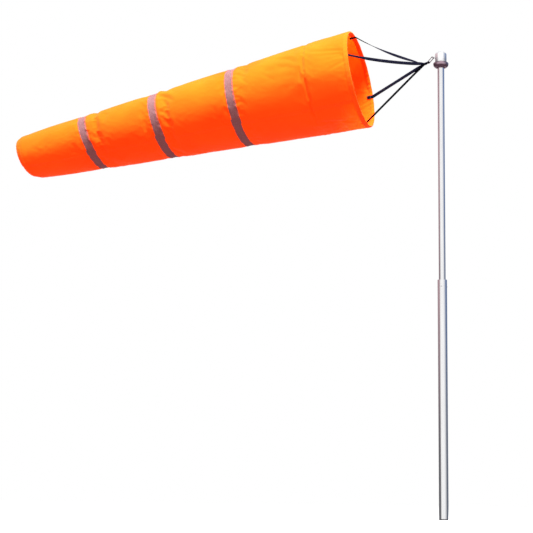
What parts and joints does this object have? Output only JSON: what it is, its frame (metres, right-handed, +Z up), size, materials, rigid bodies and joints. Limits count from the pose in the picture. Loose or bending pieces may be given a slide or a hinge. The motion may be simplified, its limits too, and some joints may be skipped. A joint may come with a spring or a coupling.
{
  "type": "windsock with pole",
  "caption": "Orange tapered windsock with reflective bands, held by webbing straps to a swivelling head on a two-stage tubular pole.",
  "frame": {"origin": "centre of the pole's foot, on the face it stands on", "axes": "+Z up the pole; the sock streams towards -X and its mouth faces the pole; Y across"},
  "size_m": [1.2592, 0.267, 1.3194],
  "materials": {
    "stainless_tube": "polished tube",
    "polished_cap": "mirror polished",
    "dark_collar": "dark polished",
    "link_metal": "plain wire",
    "bearing_steel": "machined",
    "black_plastic": "moulded",
    "orange_fabric": "woven polyester",
    "reflective_tape": "retroreflective tape",
    "black_webbing": "woven webbing"
  },
  "bodies": {
    "lower_mast": {"foot_plug": "black_plastic", "lower_tube": "stainless_tube", "guide_bush": "black_plastic", "lock_screw_front": "bearing_steel", "lock_screw_side": "bearing_steel"},
    "upper_mast": {"upper_tube": "stainless_tube", "slide_collar": "black_plastic", "mast_collar": "dark_collar", "head_spindle": "bearing_steel", "bearing_spacer": "bearing_steel", "bearing_inner_race": "bearing_steel", "spindle_washer": "bearing_steel", "spindle_nut": "bearing_steel"},
    "rotor": {"head_cap": "polished_cap", "bearing_ball_cage": "bearing_steel", "bearing_outer_race": "bearing_steel", "bearing_circlip": "bearing_steel", "tether_eye": "polished_cap"},
    "link": {"snap_link": "link_metal"},
    "gate": {"link_gate": "link_metal"},
    "mouth": {"strap_gather": "black_webbing", "strap_top": "black_webbing", "strap_far": "black_webbing", "strap_bottom": "black_webbing", "strap_near": "black_webbing", "mouth_hoop": "bearing_steel", "mouth_hem": "orange_fabric", "sock_panel_1": "orange_fabric", "reflective_band_1": "reflective_tape"},
    "middle": {"sock_panel_2": "orange_fabric", "reflective_band_2": "reflective_tape"},
    "rear": {"sock_panel_3": "orange_fabric", "reflective_band_3": "reflective_tape"},
    "tail": {"sock_panel_4": "orange_fabric", "tail_hem": "orange_fabric"}
  },
  "joints": [
    {"name": "mast_slide", "type": "slide", "parent": "lower_mast", "child": "upper_mast", "axis": [0, 0, 1], "range_m": [-0.48, 0]},
    {"name": "rotor_spin", "type": "hinge", "parent": "upper_mast", "child": "rotor", "pos_m": [0, 0, 1.2178], "axis": [0, 0, 1], "continuous": true},
    {"name": "link_pitch", "type": "hinge", "parent": "rotor", "child": "link", "pos_m": [-0.0225, 0, 1.2328], "axis": [0, -1, 0], "range_deg": [-10, 12], "stiffness_Nm_per_rad": 3.1, "springref_deg": -19.71},
    {"name": "gate_swing", "type": "hinge", "parent": "link", "child": "gate", "pos_m": [-0.03295, 0, 1.22553], "axis": [0, 1, 0], "range_deg": [0, 15], "stiffness_Nm_per_rad": 0.02},
    {"name": "harness_pitch", "type": "hinge", "parent": "link", "child": "mouth", "pos_m": [-0.03314, 0, 1.22098], "axis": [0, -1, 0], "range_deg": [-6, 34], "stiffness_Nm_per_rad": 3, "springref_deg": -19.94},
    {"name": "sock_bend_1", "type": "hinge", "parent": "mouth", "child": "middle", "pos_m": [-0.59757, 0, 1.23476], "axis": [0, -1, 0], "range_deg": [0, 12], "stiffness_Nm_per_rad": 0.7, "springref_deg": -25.04},
    {"name": "sock_bend_2", "type": "hinge", "parent": "middle", "child": "rear", "pos_m": [-0.83009, 0, 1.17937], "axis": [0, -1, 0], "range_deg": [0, 12], "stiffness_Nm_per_rad": 0.3, "springref_deg": -25.04},
    {"name": "sock_bend_3", "type": "hinge", "parent": "rear", "child": "tail", "pos_m": [-1.04816, 0, 1.12675], "axis": [0, -1, 0], "range_deg": [0, 12], "stiffness_Nm_per_rad": 0.06, "springref_deg": -25.04}
  ]
}
